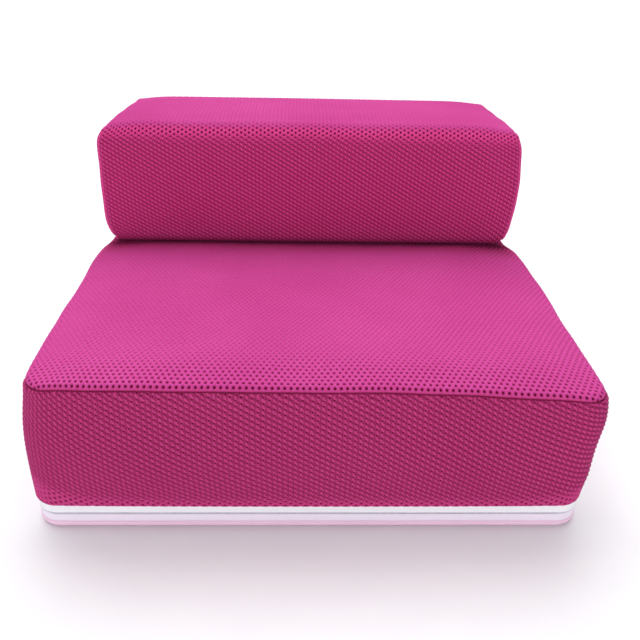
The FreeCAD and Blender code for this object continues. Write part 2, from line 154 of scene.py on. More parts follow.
def add_values(thing, **values):
    """Numbers for each vertex, which a material can read by name."""
    for name, value in values.items():
        layer = thing.data.attributes.new(name, "FLOAT", "POINT")
        layer.data.foreach_set("value", np.asarray(value, np.float32))


def ease(x, low, high):
    """0 up to the low value and 1 from the high one, with a soft change between."""
    t = np.clip((x - low) / (high - low), 0, 1)
    return t * t * (3 - 2 * t)


def drift(points, wave, amount, seed):
    """A soft random push for each point, which changes over about one wave."""
    rng = np.random.default_rng(seed)
    total = np.zeros_like(points)
    for scale, share in ((1.0, 0.62), (0.53, 0.27), (0.31, 0.11)):
        turns = rng.normal(size=(3, 3)) * TAU / (wave * scale) * 0.6
        phases = rng.uniform(0, TAU, (3, 3))
        for axis in range(3):
            waves = np.sin(points @ turns.T + phases[axis])
            total[:, axis] += share * waves.sum(1) / 1.7
    return total * amount


# ---- Rounded outlines and soft blocks ----


class RoundBox:
    """A flat rectangle with round corners."""

    def __init__(self, half, radius=0.0, centre=(0.0, 0.0)):
        self.half = np.array(half, float)
        self.radius = radius
        self.centre = np.array(centre, float)
        self.core = self.half - radius

    def inside(self, flat):
        """Distance in from the outline."""
        local = np.abs(flat - self.centre) - self.core
        out = np.linalg.norm(np.maximum(local, 0), axis=1)
        deep = np.minimum(local.max(1), 0)
        return self.radius - out - deep

    def nearest(self, flat):
        """Each point, or the outline's nearest point where it lies outside."""
        local = flat - self.centre
        core = np.clip(local, -self.core, self.core)
        rest = local - core
        far = np.linalg.norm(rest, axis=1)
        share = np.where(far > self.radius, self.radius / np.maximum(far, TINY), 1.0)
        return self.centre + core + rest * share[:, None]

    def grown(self, by):
        return RoundBox(self.half + by, self.radius + by, self.centre)

    def length(self):
        return 4 * self.core.sum() + TAU * self.radius

    def along(self, s):
        """Points and normals at distances s, counter-clockwise from the middle of the far side."""
        a, b = self.core
        arc = self.radius * math.pi / 2
        longs = np.array([a, arc, 2 * b, arc, 2 * a, arc, 2 * b, arc, a])
        starts = np.array([(0, b), (-a, b), (-a, b), (-a, -b), (-a, -b), (a, -b), (a, -b), (a, b), (a, b)])
        ends = np.cumsum(longs)
        s = np.mod(s, ends[-1])
        part = np.minimum(np.searchsorted(ends, s), len(longs) - 1)
        t = s - (ends - longs)[part]
        bends = part % 2 == 1
        turn = np.radians(90 * (1 + part // 2)) + np.where(bends, t / max(self.radius, TINY), 0)
        out = np.stack([np.cos(turn), np.sin(turn)], 1)
        ahead = np.stack([-out[:, 1], out[:, 0]], 1) * np.where(bends, 0, t)[:, None]
        return self.centre + starts[part] + ahead + out * self.radius, out

    def place(self, point):
        """Distance along the outline to its nearest point to a given one."""
        s = np.linspace(0, self.length(), 8000, endpoint=False)
        gap = np.linalg.norm(self.along(s)[0] - point, axis=1)
        return float(s[gap.argmin()])


def profile(parts):
    """Distances along a side profile, with how far out and how high it is at each.

    Each part is a corner (out, height), or an arc (centre out, centre height, radius, start, end) with its
    angles in degrees, 90 being straight up and 0 straight out.
    """
    points = []
    for out, high, *arc in parts:
        radius, start, end = arc or (0, 0, 0)
        turn = np.radians(np.linspace(start, end, max(2, int(abs(end - start) / 3)) + 1))
        points.append(np.stack([out + radius * np.cos(turn), high + radius * np.sin(turn)], 1))
    points = np.concatenate(points)
    gaps = np.linalg.norm(np.diff(points, axis=0), axis=1)
    points = points[np.append(True, gaps > TINY)]
    run = np.append(0, np.cumsum(gaps[gaps > TINY]))
    return run, points[:, 0], points[:, 1]


def lookup(grid, row, column, wraps):
    """Smooth (Catmull-Rom) values of a grid of vectors at fractional rows and columns."""
    taps = []
    for x, count, wrap in ((row, grid.shape[0], False), (column, grid.shape[1], wraps)):
        x = x if wrap else np.clip(x, 0, count - 1.0001)
        base = np.floor(x).astype(int)
        t = x - base
        weights = (
            -0.5 * t + t**2 - 0.5 * t**3,
            1 - 2.5 * t**2 + 1.5 * t**3,
            0.5 * t + 2 * t**2 - 1.5 * t**3,
            -0.5 * t**2 + 0.5 * t**3,
        )
        at = [np.mod(base + k, count) if wrap else np.clip(base + k, 0, count - 1) for k in (-1, 0, 1, 2)]
        taps.append(list(zip(at, weights)))
    return sum(grid[r, c] * (a * b)[:, None] for r, a in taps[0] for c, b in taps[1])


class SoftBlock:
    """A block with rounded edges: a cap at each end of its axis, and a wall round it.

    Flat coordinates on a cap are the block's own plane, and on the wall they are the distance round the
    outline and the negative distance down the side profile (run, out, high). The wall reaches from one of the
    seams to the other, and noise gives its unevenness.
    """

    def __init__(self, name, origin, axes, outline, side, seams, noise):
        self.name = name
        self.origin = np.array(origin, float)
        self.axes = np.array(axes, float)
        self.outline = outline
        self.run, self.out, self.high = side
        self.edge = self.out.max()
        self.inner = outline.grown(-self.edge)
        self.seams = seams
        self.noise = noise
        self.swell = None
        self.moved = 0.0

    def world(self, flat, high):
        """Row-frame points from plane points and heights."""
        return self.origin + np.column_stack([flat, high]) @ self.axes

    def plain_cap(self, flat, top):
        core = self.inner.nearest(flat)
        rest = flat - core
        far = np.linalg.norm(rest, axis=1)
        q = far if top else self.run[-1] - far
        way = rest * (np.interp(q, self.run, self.out) / np.maximum(far, TINY))[:, None]
        return self.world(core + way, np.interp(q, self.run, self.high))

    def plain_wall(self, s, q):
        points, normals = self.outline.along(s)
        inset = np.interp(q, self.run, self.out) - self.edge
        return self.world(points + normals * inset[:, None], np.interp(q, self.run, self.high))

    def cap_domain(self, top):
        return self.inner.grown(self.seams[0] if top else self.run[-1] - self.seams[1])

    def cap(self, flat, top=True):
        """Points of a soft cap. The lower cap's first flat coordinate is mirrored, so that it faces out."""
        plane = flat if top else flat * [-1.0, 1.0]
        points = self.plain_cap(plane, top)
        if self.swell is not None:
            grid = self.swell["top" if top else "bottom"]
            size = np.array(grid.shape[1::-1]) - 1
            column, row = ((plane / self.cap_domain(top).half + 1) / 2 * size).T
            points = points + lookup(grid, row, column, False)
        return points + self.noise(points)

    def wall(self, flat):
        """Points of the soft wall."""
        s, q = flat[:, 0], -flat[:, 1]
        points = self.plain_wall(s, q)
        if self.swell is not None:
            grid, stations = self.swell["wall"], self.swell["stations"]
            length = self.outline.length()
            knots = np.append(stations, stations[0] + length)
            column = np.interp(np.mod(s - stations[0], length) + stations[0], knots, np.arange(len(knots)))
            row = (q - self.seams[0]) / (self.seams[1] - self.seams[0]) * (grid.shape[0] - 1)
            points = points + lookup(grid, row, column, True)
        return points + self.noise(points)


# ---- Cloth simulation of a block's cover ----

CELL = 12.5
SIM_FRAMES = 20
MAX_PULL_IN = 0.3
SLIP = 0.12
SMOOTHING = 3
CLOTH = {
    "quality": 6,
    "mass": 0.25,
    "tension_stiffness": 25,
    "compression_stiffness": 25,
    "shear_stiffness": 12,
    "bending_stiffness": 2.0,
    "use_pressure": True,
    "uniform_pressure_force": 6.0,
    "vertex_group_mass": "held",
}


def cage(block):
    """A closed coarse mesh of the block, with the vertex numbers of its parts."""
    domain, under = block.cap_domain(True), block.cap_domain(False)
    columns, rows = (int(round(2 * h / CELL)) for h in domain.half)
    a = np.linspace(-domain.half[0], domain.half[0], columns + 1)
    b = np.linspace(-domain.half[1], domain.half[1], rows + 1)
    plane = np.stack(np.meshgrid(a, b), -1).reshape(-1, 2)
    flat = domain.nearest(plane)
    top = np.arange(len(flat)).reshape(rows + 1, columns + 1)
    ring = rim_of(top)
    stations = np.array([block.outline.place(flat[i]) for i in ring])
    first = int(stations.argmin())
    ring, stations = np.roll(ring, -first), np.roll(stations, -first)
    start, end = block.seams
    levels = max(3, int(round((end - start) / CELL)))
    points = [block.plain_cap(flat, True)]
    wall = [ring]
    count = len(flat)
    for level in range(1, levels):
        q = start + (end - start) * level / levels
        points.append(block.plain_wall(stations, np.full(len(ring), q)))
        wall.append(np.arange(count, count + len(ring)))
        count += len(ring)
    points.append(block.plain_cap(under.nearest(plane * under.half / domain.half), False))
    wall = np.stack([*wall, ring + count])
    bottom = top + count
    faces = [grid_faces(top), grid_faces(closed(wall))[:, ::-1], grid_faces(bottom)[:, ::-1]]
    return np.concatenate(points), faces, {"top": top, "wall": wall, "bottom": bottom, "stations": stations}


def smoothed(values, faces):
    """Values of a quad mesh's points, averaged with those of their neighbours."""
    total, count = values.copy(), np.ones((len(values), 1))
    quads = np.concatenate(faces)
    for k in range(4):
        for way in (1, -1):
            np.add.at(total, quads[:, k], values[quads[:, (k + way) % 4]])
            np.add.at(count, quads[:, k], 1)
    return total / count


def plump(block, held, limit):
    """Blows the block's cover up by cloth simulation and keeps how far each part of it moved.

    held gives 1 where the cover can't move and 0 where it is free, from row-frame points.
    """
    points, faces, numbers = cage(block)
    thing = new_mesh(block.name + "_cage", points, faces)
    normals = vectors(thing.data.vertex_normals, "vector")
    pins = thing.vertex_groups.new(name=CLOTH["vertex_group_mass"])
    for i, weight in enumerate(held(points)):
        pins.add([i], float(weight), "REPLACE")
    cloth = thing.modifiers.new("cover", "CLOTH")
    for key, value in CLOTH.items():
        setattr(cloth.settings, key, value)
    cloth.settings.effector_weights.gravity = 0
    cloth.collision_settings.use_collision = False
    scene = bpy.context.scene
    for number in range(1, SIM_FRAMES + 1):
        scene.frame_set(number)
    shaped = thing.evaluated_get(bpy.context.evaluated_depsgraph_get()).to_mesh()
    moved = vectors(shaped.vertices, "co") / MM - points
    scene.frame_set(1)
    mesh = thing.data
    bpy.data.objects.remove(thing)
    bpy.data.meshes.remove(mesh)
    outward = (moved * normals).sum(1)
    aside = moved - normals * outward[:, None]
    moved = normals * np.maximum(outward, -MAX_PULL_IN)[:, None] + aside * SLIP
    for _ in range(SMOOTHING):
        moved = smoothed(moved, faces)
    far = np.linalg.norm(moved, axis=1)
    moved *= (limit * np.tanh(far / limit) / np.maximum(far, TINY))[:, None]
    block.moved = moved
    block.swell = {part: moved[numbers[part]] for part in ("top", "wall", "bottom")}
    block.swell["stations"] = numbers["stations"]


# ---- Knitted spacer mesh ----

PITCH = 4.15
HOLE = 1.3
HOLE_STRETCH = 1.25
HOLE_DEPTH = 1.7
BRIDGE_DROP = 0.45
RIB_ANGLE = math.radians(60)
OPEN_HOLE = 1.72
RIM = 6
EACH = RIM + 1
SMALLEST = 0.02
QUARTER_TURN = np.array([[0.0, -1.0], [1.0, 0.0]])


def beside_edge(domain):
    """How far the holes open out beside an outline."""
    return lambda flat: 1 - ease(domain.inside(flat), 5.0, 12.0)


def knit(domain, turned, opened, start):
    """Flat points, triangles, depths (0 on the yarn, 1 in a hole) and grooves of mesh over an outline's box.

    The holes are long ovals along the ribs, and open out into round ones where the mesh is stretched. Each
    has RIM points round it and one in its middle. The rows start from the given share of a row.
    """
    turn = QUARTER_TURN if turned else np.eye(2)
    size = 2 * domain.half[::-1] if turned else 2 * domain.half
    columns, rows = (int(math.ceil(long / PITCH / 2)) + 2 for long in (size[0], size[1] / ROW_GAP))
    seeds = lattice(columns, rows, PITCH, start)
    shape = seeds.shape[:2]
    turns = np.radians(30 + 60 * np.arange(RIM))
    circle = np.stack([np.cos(turns), np.sin(turns)], 1)
    rib = np.array([math.cos(RIB_ANGLE), math.sin(RIB_ANGLE)])
    long, narrow = HOLE_STRETCH**0.5, HOLE_STRETCH**-0.5
    oval = HOLE * (circle * narrow + np.outer(circle @ rib, rib) * (long - narrow))
    share = opened(seeds.reshape(-1, 2) @ turn + domain.centre).reshape(*shape, 1, 1)
    rings = oval * (1 - share) + OPEN_HOLE * circle * share
    local = np.concatenate([rings, np.zeros((*shape, 1, 2))], 2)
    points = (seeds[:, :, None, :] + local).reshape(-1, 2)
    across = np.abs(oval[:, 1] * rib[0] - oval[:, 0] * rib[1])
    low = 1 - (across - across.min()) / (across.max() - across.min())
    groove = (np.append(low, 0.0) * (1 - share[:, :, 0])).ravel()
    depth = groove * BRIDGE_DROP / HOLE_DEPTH
    depth[RIM::EACH] = 1.0

    number = np.arange(shape[0] * shape[1]).reshape(shape) * EACH
    here, right = number[:-1, 1:-1], number[:-1, 2:]
    above = np.arange(1, 2 * rows + 1)[:, None]
    beside = np.arange(1, 2 * columns)[None, :] + (np.arange(-rows, rows) % 2)[:, None]
    upper_right, upper_left = number[above, beside], number[above, beside - 1]
    triangles = [(number + RIM, number + k, number + (k + 1) % RIM) for k in range(RIM)]
    for other, a, b, c, d in ((right, 5, 3, 2, 0), (upper_right, 0, 4, 3, 1), (upper_left, 1, 5, 4, 2)):
        triangles.append((here + a, other + b, other + c))
        triangles.append((here + a, other + c, here + d))
    triangles.append((here, right + 2, upper_right + 4))
    triangles.append((here + 1, upper_right + 3, upper_left + 5))
    triangles = np.concatenate([np.stack([c.ravel() for c in t], 1) for t in triangles])
    return points @ turn + domain.centre, triangles, depth, groove


def cut_to(domain, points, triangles, *values):
    """Mesh cut to a flat outline. Points past its edge come back to it, and what has no area left goes."""
    flat = domain.nearest(points)
    first = flat[triangles[:, 0]]
    b, c = (flat[triangles[:, k]] - first for k in (1, 2))
    triangles = triangles[np.abs(b[:, 0] * c[:, 1] - b[:, 1] * c[:, 0]) > SMALLEST]
    used, triangles = np.unique(triangles, return_inverse=True)
    return flat[used], triangles.reshape(-1, 3), *(v[used] for v in values)


EDGE_FADE = 1.6
# Reach and height of the painted shadow in the crease at the upper step's foot.
CREASE_SHADOW_REACH = 9.0
CREASE_SHADOW_HIGH = 5.0
SEAM_WIDTH = 1.4
SEAM_DEPTH = 2.0
HEM_FADE = (1.0, 8.0)
SLOPE_STEP = 0.4
# Painted sheen on faces that look up, set by slope and kept off near the upper step's foot, where that step
# shades the tread.
SHADE_REACH = 45
SHADE_HIGH = (50, 80)
SHEEN_PAINTED_SLOPE = (0.45, 0.85)


def mesh_panel(
    name, node, surface, domain, turned=False, tuck=None, hem=None, pull=None, opened=None, start=0.0
):
    """A strip of spacer mesh on a soft surface, with its holes as pits and its edges pulled in at the seams.

    tuck gives how far the mesh turns in, hem is where the wall has no seam, pull shifts the knit sideways,
    and opened gives how far the holes open out.
    """
    opened = opened or beside_edge(domain)
    knitted, triangles, depth, groove = knit(domain, turned, opened, start)
    if pull is not None:
        knitted = knitted + pull(knitted)
    flat, triangles, depth, groove = cut_to(domain, knitted, triangles, depth, groove)
    rest = surface(flat)
    ways = SLOPE_STEP * np.eye(2)
    normal = np.cross(*(surface(flat + way) - surface(flat - way) for way in ways))
    normal /= np.maximum(np.linalg.norm(normal, axis=1), TINY)[:, None]
    edge = domain.inside(flat)
    free = ease(edge, 0, EDGE_FADE)
    valley = SEAM_DEPTH * np.exp(-((edge / SEAM_WIDTH) ** 2))
    if hem is not None:
        valley *= ease(np.abs(flat[:, 1] + hem), *HEM_FADE)
    if tuck is not None:
        valley = np.maximum(valley, tuck(flat))
    thing = new_mesh(name, rest - normal * (depth * HOLE_DEPTH * free + valley)[:, None], [triangles])
    add_uv(thing, flat)
    # Painted light on the mesh: a painted shadow in the crease at the upper step's foot, and a painted sheen
    # on faces that look up, left off in the upper step's shade.
    corner_y, corner_z = wrap_low[1:]
    in_front, above = np.abs(corner_y - rest[:, 1]), rest[:, 2] - corner_z
    clear = np.maximum(ease(in_front, 0, SHADE_REACH), ease(above, *SHADE_HIGH))
    add_values(
        thing,
        hole=(depth == 1.0) * free,
        groove=groove,
        open=opened(flat),
        edge=edge,
        crease=np.exp(-in_front / CREASE_SHADOW_REACH - np.abs(above) / CREASE_SHADOW_HIGH),
        faded=ease(normal[:, 2], *SHEEN_PAINTED_SLOPE) * clear,
    )
    step = node.split("_")[0]
    dress(thing, f"{step}_mesh", "mesh_cover", step, node)


# ---- The two blocks ----

LOWER_EDGE = 7.0
LOWER_SEAM_TURN = 60.0
LOWER_CORNER = 20.0
HEM_ROLL = 2.6
HEM_TURN = -75
UPPER_EDGE = 8.0
UPPER_SEAM_TURN = 45.0
UPPER_CORNER = 9.0
TUCK = 1.9
FOAM_INSET = 5.0
CORNER_PULL = 20.0
CORNER_REACH = 18.0
SEWN_WOBBLE = 0.75
SEWN_REACH = 7.0

wrap_low, wrap_high = span("upper_wrap_panel")
under_low, under_high = span("upper_bottom_panel")
back_low, back_high = span("lower_back_panel")
HALF_WIDTH = span("upper_right_end_panel")[1][0]
HALF_DEPTH = back_high[1]
BAND_END = back_low[1]
BAND_FOOT = span("lower_front_and_sides")[0][2]
BASE_TOP = span("base_cloth")[1][2]
RISE = wrap_high[2] - wrap_low[2]
WRAP_MIDDLE = (wrap_low + wrap_high) / 2
SLOT_HIGH = 2 * WRAP_MIDDLE[2] - under_high[2]
UPPER_PUSH = wrap_low[1] + 75


def bumps(points, places):
    """Soft pushes, each a centre (share of half the width, y, share of a rise), a size and a way."""
    total = np.zeros_like(points)
    for (across, y, up), spread, way in places:
        far = (points - [across * HALF_WIDTH, y, up * RISE]) / spread
        total += np.exp(-(far**2).sum(1))[:, None] * np.array(way)
    return total


LOWER_BUMPS = (
    ((-1, -HALF_DEPTH, 1), (50, 60, 26), (7.0, 2.0, 1.0)),
    ((-1, 30, 1), (50, 60, 40), (-4.0, 0, 0)),
    ((0, -HALF_DEPTH, 1), (150, 70, 40), (0, 0, 4.2)),
    ((1, -HALF_DEPTH, 0.8), (45, 50, 28), (6.5, 0, 0)),
    ((1, -HALF_DEPTH, 0.4), (45, 60, 30), (2.5, 0, 0)),
    ((1, -HALF_DEPTH, 1), (120, 60, 30), (-1.0, 0, -4.5)),
    ((1, 10, 1), (50, 120, 60), (6.5, 0, 0)),
)
UPPER_BUMPS = (
    ((-1, UPPER_PUSH, 2), (30, 400, 12), (8.5, 0, -3.0)),
    ((1, UPPER_PUSH, 2), (30, 400, 15), (-6.0, 0, -3.0)),
    ((-1, UPPER_PUSH, 1), (25, 400, 12), (7.0, 0, 0)),
    ((1, UPPER_PUSH, 1), (25, 400, 12), (-6.0, 0, 0)),
    ((1, UPPER_PUSH, 1.5), (40, 400, 30), (2.0, 0, 0)),
)


def under_upper(z):
    """0 on the wall of the lower step, and 1 at the height of its tread."""
    return ease(z, RISE - 14, RISE - 6)


def lower_noise(points):
    """Unevenness of the lower cover: none at the back, the foot or under the upper step."""
    x, y, z = points.T
    free = ease(HALF_DEPTH - y, 1, 30) * ease(z, BAND_FOOT, BAND_FOOT + 25)
    open_tread = ease(wrap_low[1] + 15 - y, 0, 30)
    moved = drift(points, 95.0, 0.6, 4) + bumps(points, LOWER_BUMPS)
    return moved * (free * (1 - under_upper(z) * (1 - open_tread)))[:, None]


def upper_noise(points):
    """Unevenness of the upper cover, with no drift underneath or at the back."""
    high = ease(points[:, 2] - wrap_low[2], 1, 25)
    free = ease(HALF_DEPTH - points[:, 1], 1, 30)
    return drift(points, 80.0, 0.6, 9) * (free * high)[:, None] + bumps(points, UPPER_BUMPS)


def lower_block(bottom, hem):
    """The lower step, with its wall ending at a height, rolled under where it has a hem."""
    edge = LOWER_EDGE
    foot = (edge - HEM_ROLL, bottom + HEM_ROLL, HEM_ROLL, 0, HEM_TURN) if hem else (edge, bottom)
    side = profile([(0, RISE), (0, RISE - edge, edge, 90, 0), foot])
    seams = (edge * math.radians(LOWER_SEAM_TURN), side[0][-1])
    outline = RoundBox((HALF_WIDTH, HALF_DEPTH), LOWER_CORNER)
    return SoftBlock("lower", (0, 0, 0), np.eye(3), outline, side, seams, lower_noise)


def upper_block():
    """The upper step. Its axis runs from left to right, so its caps are its end panels."""
    edge = UPPER_EDGE
    flat = HALF_WIDTH - edge
    side = profile([(0, HALF_WIDTH), (0, flat, edge, 90, 0), (0, -flat, edge, 0, -90), (0, -HALF_WIDTH)])
    seam = edge * math.radians(UPPER_SEAM_TURN)
    outline = RoundBox(((wrap_high - wrap_low) / 2)[1:], UPPER_CORNER)
    axes = [[0, 1, 0], [0, 0, 1], [1, 0, 0]]
    return SoftBlock("upper", WRAP_MIDDLE, axes, outline, side, (seam, side[0][-1] - seam), upper_noise)


def lower_held(points):
    """The lower cover is held at its foot, at the back and under the upper step."""
    x, y, z = points.T
    foot = 1 - ease(z, BAND_FOOT + 2, BAND_FOOT + 16)
    back = ease(y, BAND_END - 60, BAND_END - 8)
    under = ease(y, wrap_low[1] - 25, wrap_low[1] + 12) * under_upper(z)
    return np.maximum.reduce([foot, back, under])


def upper_held(points):
    """The upper cover is held at the back and underneath."""
    x, y, z = points.T
    return np.maximum(ease(y, HALF_DEPTH - 45, HALF_DEPTH - 6), 1 - ease(z - wrap_low[2], 4, 22))


lower = lower_block(BAND_FOOT, hem=True)
lower_back = lower_block(BASE_TOP, hem=False)
upper = upper_block()
plump(lower, lower_held, limit=6.0)
plump(upper, upper_held, limit=5.0)


def dress(thing, material, slot, step, *nodes):
    """Gives a piece its material and body, and hides the CAD nodes that it stands for. The slot is not used.
    """
    thing.data.materials.append(materials[material])
    if nodes:
        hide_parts(*nodes)
    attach(thing, f"{step}_step")


def foam_core(block):
    """The foam block in a cover: the cover's own soft shape, a little smaller."""
    points, faces, _ = cage(block)
    points = points + block.moved
    points = points + block.noise(points)
    thing = new_mesh(f"{block.name}_foam_block", points, faces)
    set_points(thing.data, points - FOAM_INSET * vectors(thing.data.vertex_normals, "vector"))
    thing.data.update()
    dress(thing, "foam", "foam", block.name, f"{block.name}_foam")


def flat_box(s_low, s_high, q_low, q_high):
    """A rectangle of a wall's flat coordinates."""
    centre = ((s_low + s_high) / 2, -(q_low + q_high) / 2)
    return RoundBox(((s_high - s_low) / 2, (q_high - q_low) / 2), 0.0, centre)


def lower_cover():
    """Top panel, the strip round the front and sides, and the back panel."""
    outline = lower.outline
    left, right = (outline.place((side * HALF_WIDTH, BAND_END)) for side in (-1, 1))
    mesh_panel(
        "tread_cover", "lower_top_panel", lower.cap, lower.cap_domain(True), opened=tread_opened, start=0.5
    )
    mesh_panel(
        "front_and_side_cover",
        "lower_front_and_sides",
        lower.wall,
        flat_box(left, right, *lower.seams),
        turned=True,
        hem=lower.seams[1],
        pull=front_pull,
        opened=hem_opened,
    )
    around = flat_box(right, outline.length() + left, *lower_back.seams)
    mesh_panel("back_cover", "lower_back_panel", lower_back.wall, around, turned=True)


def hem_opened(flat):
    """The holes of the front and sides open out above the hem."""
    return 0.8 * (1 - ease(lower.seams[1] + flat[:, 1], 4, 13))


def front_pull(flat):
    """The front's knit is pulled up at both front corners, and its first rows are sewn unevenly."""
    shift = np.zeros_like(flat)
    for side, share in ((-1, 1.0), (1, 0.5)):
        corner = lower.outline.place((side * (HALF_WIDTH - 6), -HALF_DEPTH + 6))
        away = np.sqrt((flat[:, 0] - corner) ** 2 + 36.0)
        shift[:, 1] += share * CORNER_PULL * np.exp(-away / CORNER_REACH)
    s, down = flat[:, 0], -flat[:, 1] - lower.seams[0]
    near = np.exp(-np.maximum(down, 0) / SEWN_REACH)
    shift[:, 0] += SEWN_WOBBLE * near * np.sin(s * 0.71 + 2.1 * np.sin(s * 0.093) + down * 0.5)
    shift[:, 1] += SEWN_WOBBLE * near * np.sin(s * 0.53 + 1.7 * np.sin(s * 0.127) - down * 0.4)
    return shift


def tread_opened(flat):
    """The tread's holes open out towards the front, and close to the other edges."""
    inside = lower.cap_domain(True).inside(flat)
    front = 0.9 * (1 - ease(flat[:, 1] + HALF_DEPTH, 4.0, 60.0))
    return np.maximum(front, 1 - ease(inside, 5.0, 13.0))


def fold_opened(flat):
    """The upper cover's holes open out just below its front edge."""
    outline = upper.outline
    edge = outline.place((-outline.half[0], outline.half[1] - UPPER_CORNER)) - 2.0
    return np.exp(-(((flat[:, 0] - edge) / 5.5) ** 2))


def upper_cover():
    """The strip over the back, top and front, the one underneath, and both end panels."""
    outline = upper.outline
    middle = WRAP_MIDDLE
    half_deep, half_high = outline.half
    slot_top = outline.place((half_deep, SLOT_HIGH - middle[2])) - outline.length()
    slot_foot = outline.place((half_deep, under_high[2] - middle[2]))
    seam = outline.place((under_low[1] - middle[1], -half_high))
    over = flat_box(slot_top, seam, *upper.seams)
    below = flat_box(seam, slot_foot, *upper.seams)
    tuck = tuck_at(slot_top)
    mesh_panel("upper_cover", "upper_wrap_panel", upper.wall, over, tuck=tuck, opened=fold_opened)
    mesh_panel("upper_under_cover", "upper_bottom_panel", upper.wall, below, tuck=tuck_at(slot_foot))
    for side, top in (("right", True), ("left", False)):
        name, node = f"upper_{side}_cover", f"upper_{side}_end_panel"
        mesh_panel(name, node, lambda flat: upper.cap(flat, top), upper.cap_domain(top), turned=True)


def tuck_at(edge):
    """How far the mesh turns in beside the zip, from flat points."""
    return lambda flat: TUCK * np.exp(-((np.abs(flat[:, 0] - edge) / SEAM_WIDTH) ** 2))


# ---- Materials ----


class Nodes:
    """A short way to write a material's nodes."""

    def __init__(self, name):
        self.material = bpy.data.materials.new(name)
        self.material.use_nodes = True
        self.tree = self.material.node_tree

    def add(self, kind, output, inputs=(), **settings):
        node = self.tree.nodes.new("ShaderNode" + kind)
        for key, value in settings.items():
            setattr(node, key, value)
        for key, value in dict(inputs).items():
            self.put(node.inputs[key], value)
        return node.outputs[output]

    def put(self, socket, value):
        if isinstance(value, bpy.types.NodeSocket):
            self.tree.links.new(value, socket)
        else:
            socket.default_value = value

    def finish(self, **inputs):
        """Sets the shader's inputs, and returns the material."""
        for key, value in inputs.items():
            self.put(self.tree.nodes["Principled BSDF"].inputs[key.replace("_", " ")], value)
        return self.material

    def value(self, name):
        return self.add("Attribute", "Fac", attribute_name=name)

    def uv(self):
        return self.add("UVMap", "UV", uv_map="Cloth")

    def place(self):
        return self.add("TexCoord", "Object")

    def noise(self, vector, scale, detail=2.0, rough=0.5):
        inputs = {"Vector": vector, "Scale": scale, "Detail": detail, "Roughness": rough}
        return self.add("TexNoise", "Fac", inputs)

    def math(self, operation, first, second):
        return self.add("Math", 0, {0: first, 1: second}, operation=operation)

    def mix(self, factor, first, second):
        return self.add("Mix", 2, {0: factor, 6: first, 7: second}, data_type="RGBA")

    def ramp(self, value, low, high, to_low=0.0, to_high=1.0):
        inputs = {"Value": value, "From Min": low, "From Max": high, "To Min": to_low, "To Max": to_high}
        return self.add("MapRange", 0, inputs)

    def bump(self, height, distance, strength):
        inputs = {"Height": height, "Distance": distance, "Strength": strength}
        return self.add("Bump", "Normal", inputs)

    def wave(self, vector, scale, distortion, direction):
        inputs = {"Vector": vector, "Scale": scale, "Distortion": distortion}
        return self.add("TexWave", "Fac", inputs, bands_direction=direction)


def rgb(*levels):
    """A colour from its 0-255 values."""
    shares = [level / 255 for level in levels]
    return (*(v / 12.92 if v <= 0.04045 else ((v + 0.055) / 1.055) ** 2.4 for v in shares), 1.0)


# Dark magenta painted where shade falls: in the mesh's holes and grooves, along its seams and in the crease
# at the upper step's foot.
PAINTED_SHADE = rgb(106, 0, 46)
# Paler, lilac yarn for faces that look up: a painted sheen for the light that falls on them.
SHEEN_PAINTED_YARN = (rgb(195, 66, 144), rgb(209, 80, 158))


def mesh_material(step, first, second, deep):
    """Magenta yarn with fine filaments, with painted shade in its holes, grooves and seams and in the crease
    at the upper step's foot, and a painted sheen where it faces up.
    """
    n = Nodes("magenta_spacer_mesh_" + step)
    hole, uv, place, faded = n.value("hole"), n.uv(), n.place(), n.value("faded")
    side = n.mix(n.noise(place, 14.0), first, second)
    # Painted sheen: faces that look up get the paler top yarn.
    top = n.mix(n.ramp(n.noise(place, 9.0), 0.25, 0.75), *SHEEN_PAINTED_YARN)
    yarn = n.mix(n.ramp(n.noise(uv, 420.0, 3.0), 0.35, 0.7, 0.0, 0.5), n.mix(faded, side, top), deep)
    # Painted shade in the grooves and holes, lighter where the painted top sheen lies over them.
    groove = n.math("MULTIPLY", n.value("groove"), n.ramp(faded, 0.0, 1.0, 0.68, 0.1))
    sheen_over_holes = n.math("MULTIPLY", faded, n.ramp(n.value("open"), 0.0, 1.0, 0.3, 0.0))
    hole_shade = n.math("MULTIPLY", n.ramp(hole, 0.1, 0.6), n.math("SUBTRACT", 1.0, sheen_over_holes))
    # Painted shade along the panel's edges, where the seams sink in.
    seam = n.ramp(n.value("edge"), 0.2, 1.1, 0.8, 0.0)
    # Painted shadow in the crease at the foot of the upper step.
    crease = n.ramp(n.value("crease"), 0.0, 0.9, 0.0, 0.75)
    fibres = n.math("ADD", n.noise(uv, 2600.0), n.wave(uv, 950.0, 3.0, "DIAGONAL"))
    knitted = n.mix(n.math("MAXIMUM", hole_shade, groove), yarn, PAINTED_SHADE)
    return n.finish(
        Base_Color=n.mix(n.math("MAXIMUM", seam, crease), knitted, PAINTED_SHADE),
        Roughness=n.ramp(n.noise(uv, 900.0), 0.3, 0.7, 0.72, 0.9),
        Normal=n.bump(fibres, 12e-5, 0.55),
        Sheen_Weight=0.06,
        Sheen_Roughness=0.45,
        Sheen_Tint=rgb(220, 150, 240),
        Specular_IOR_Level=0.08,
    )


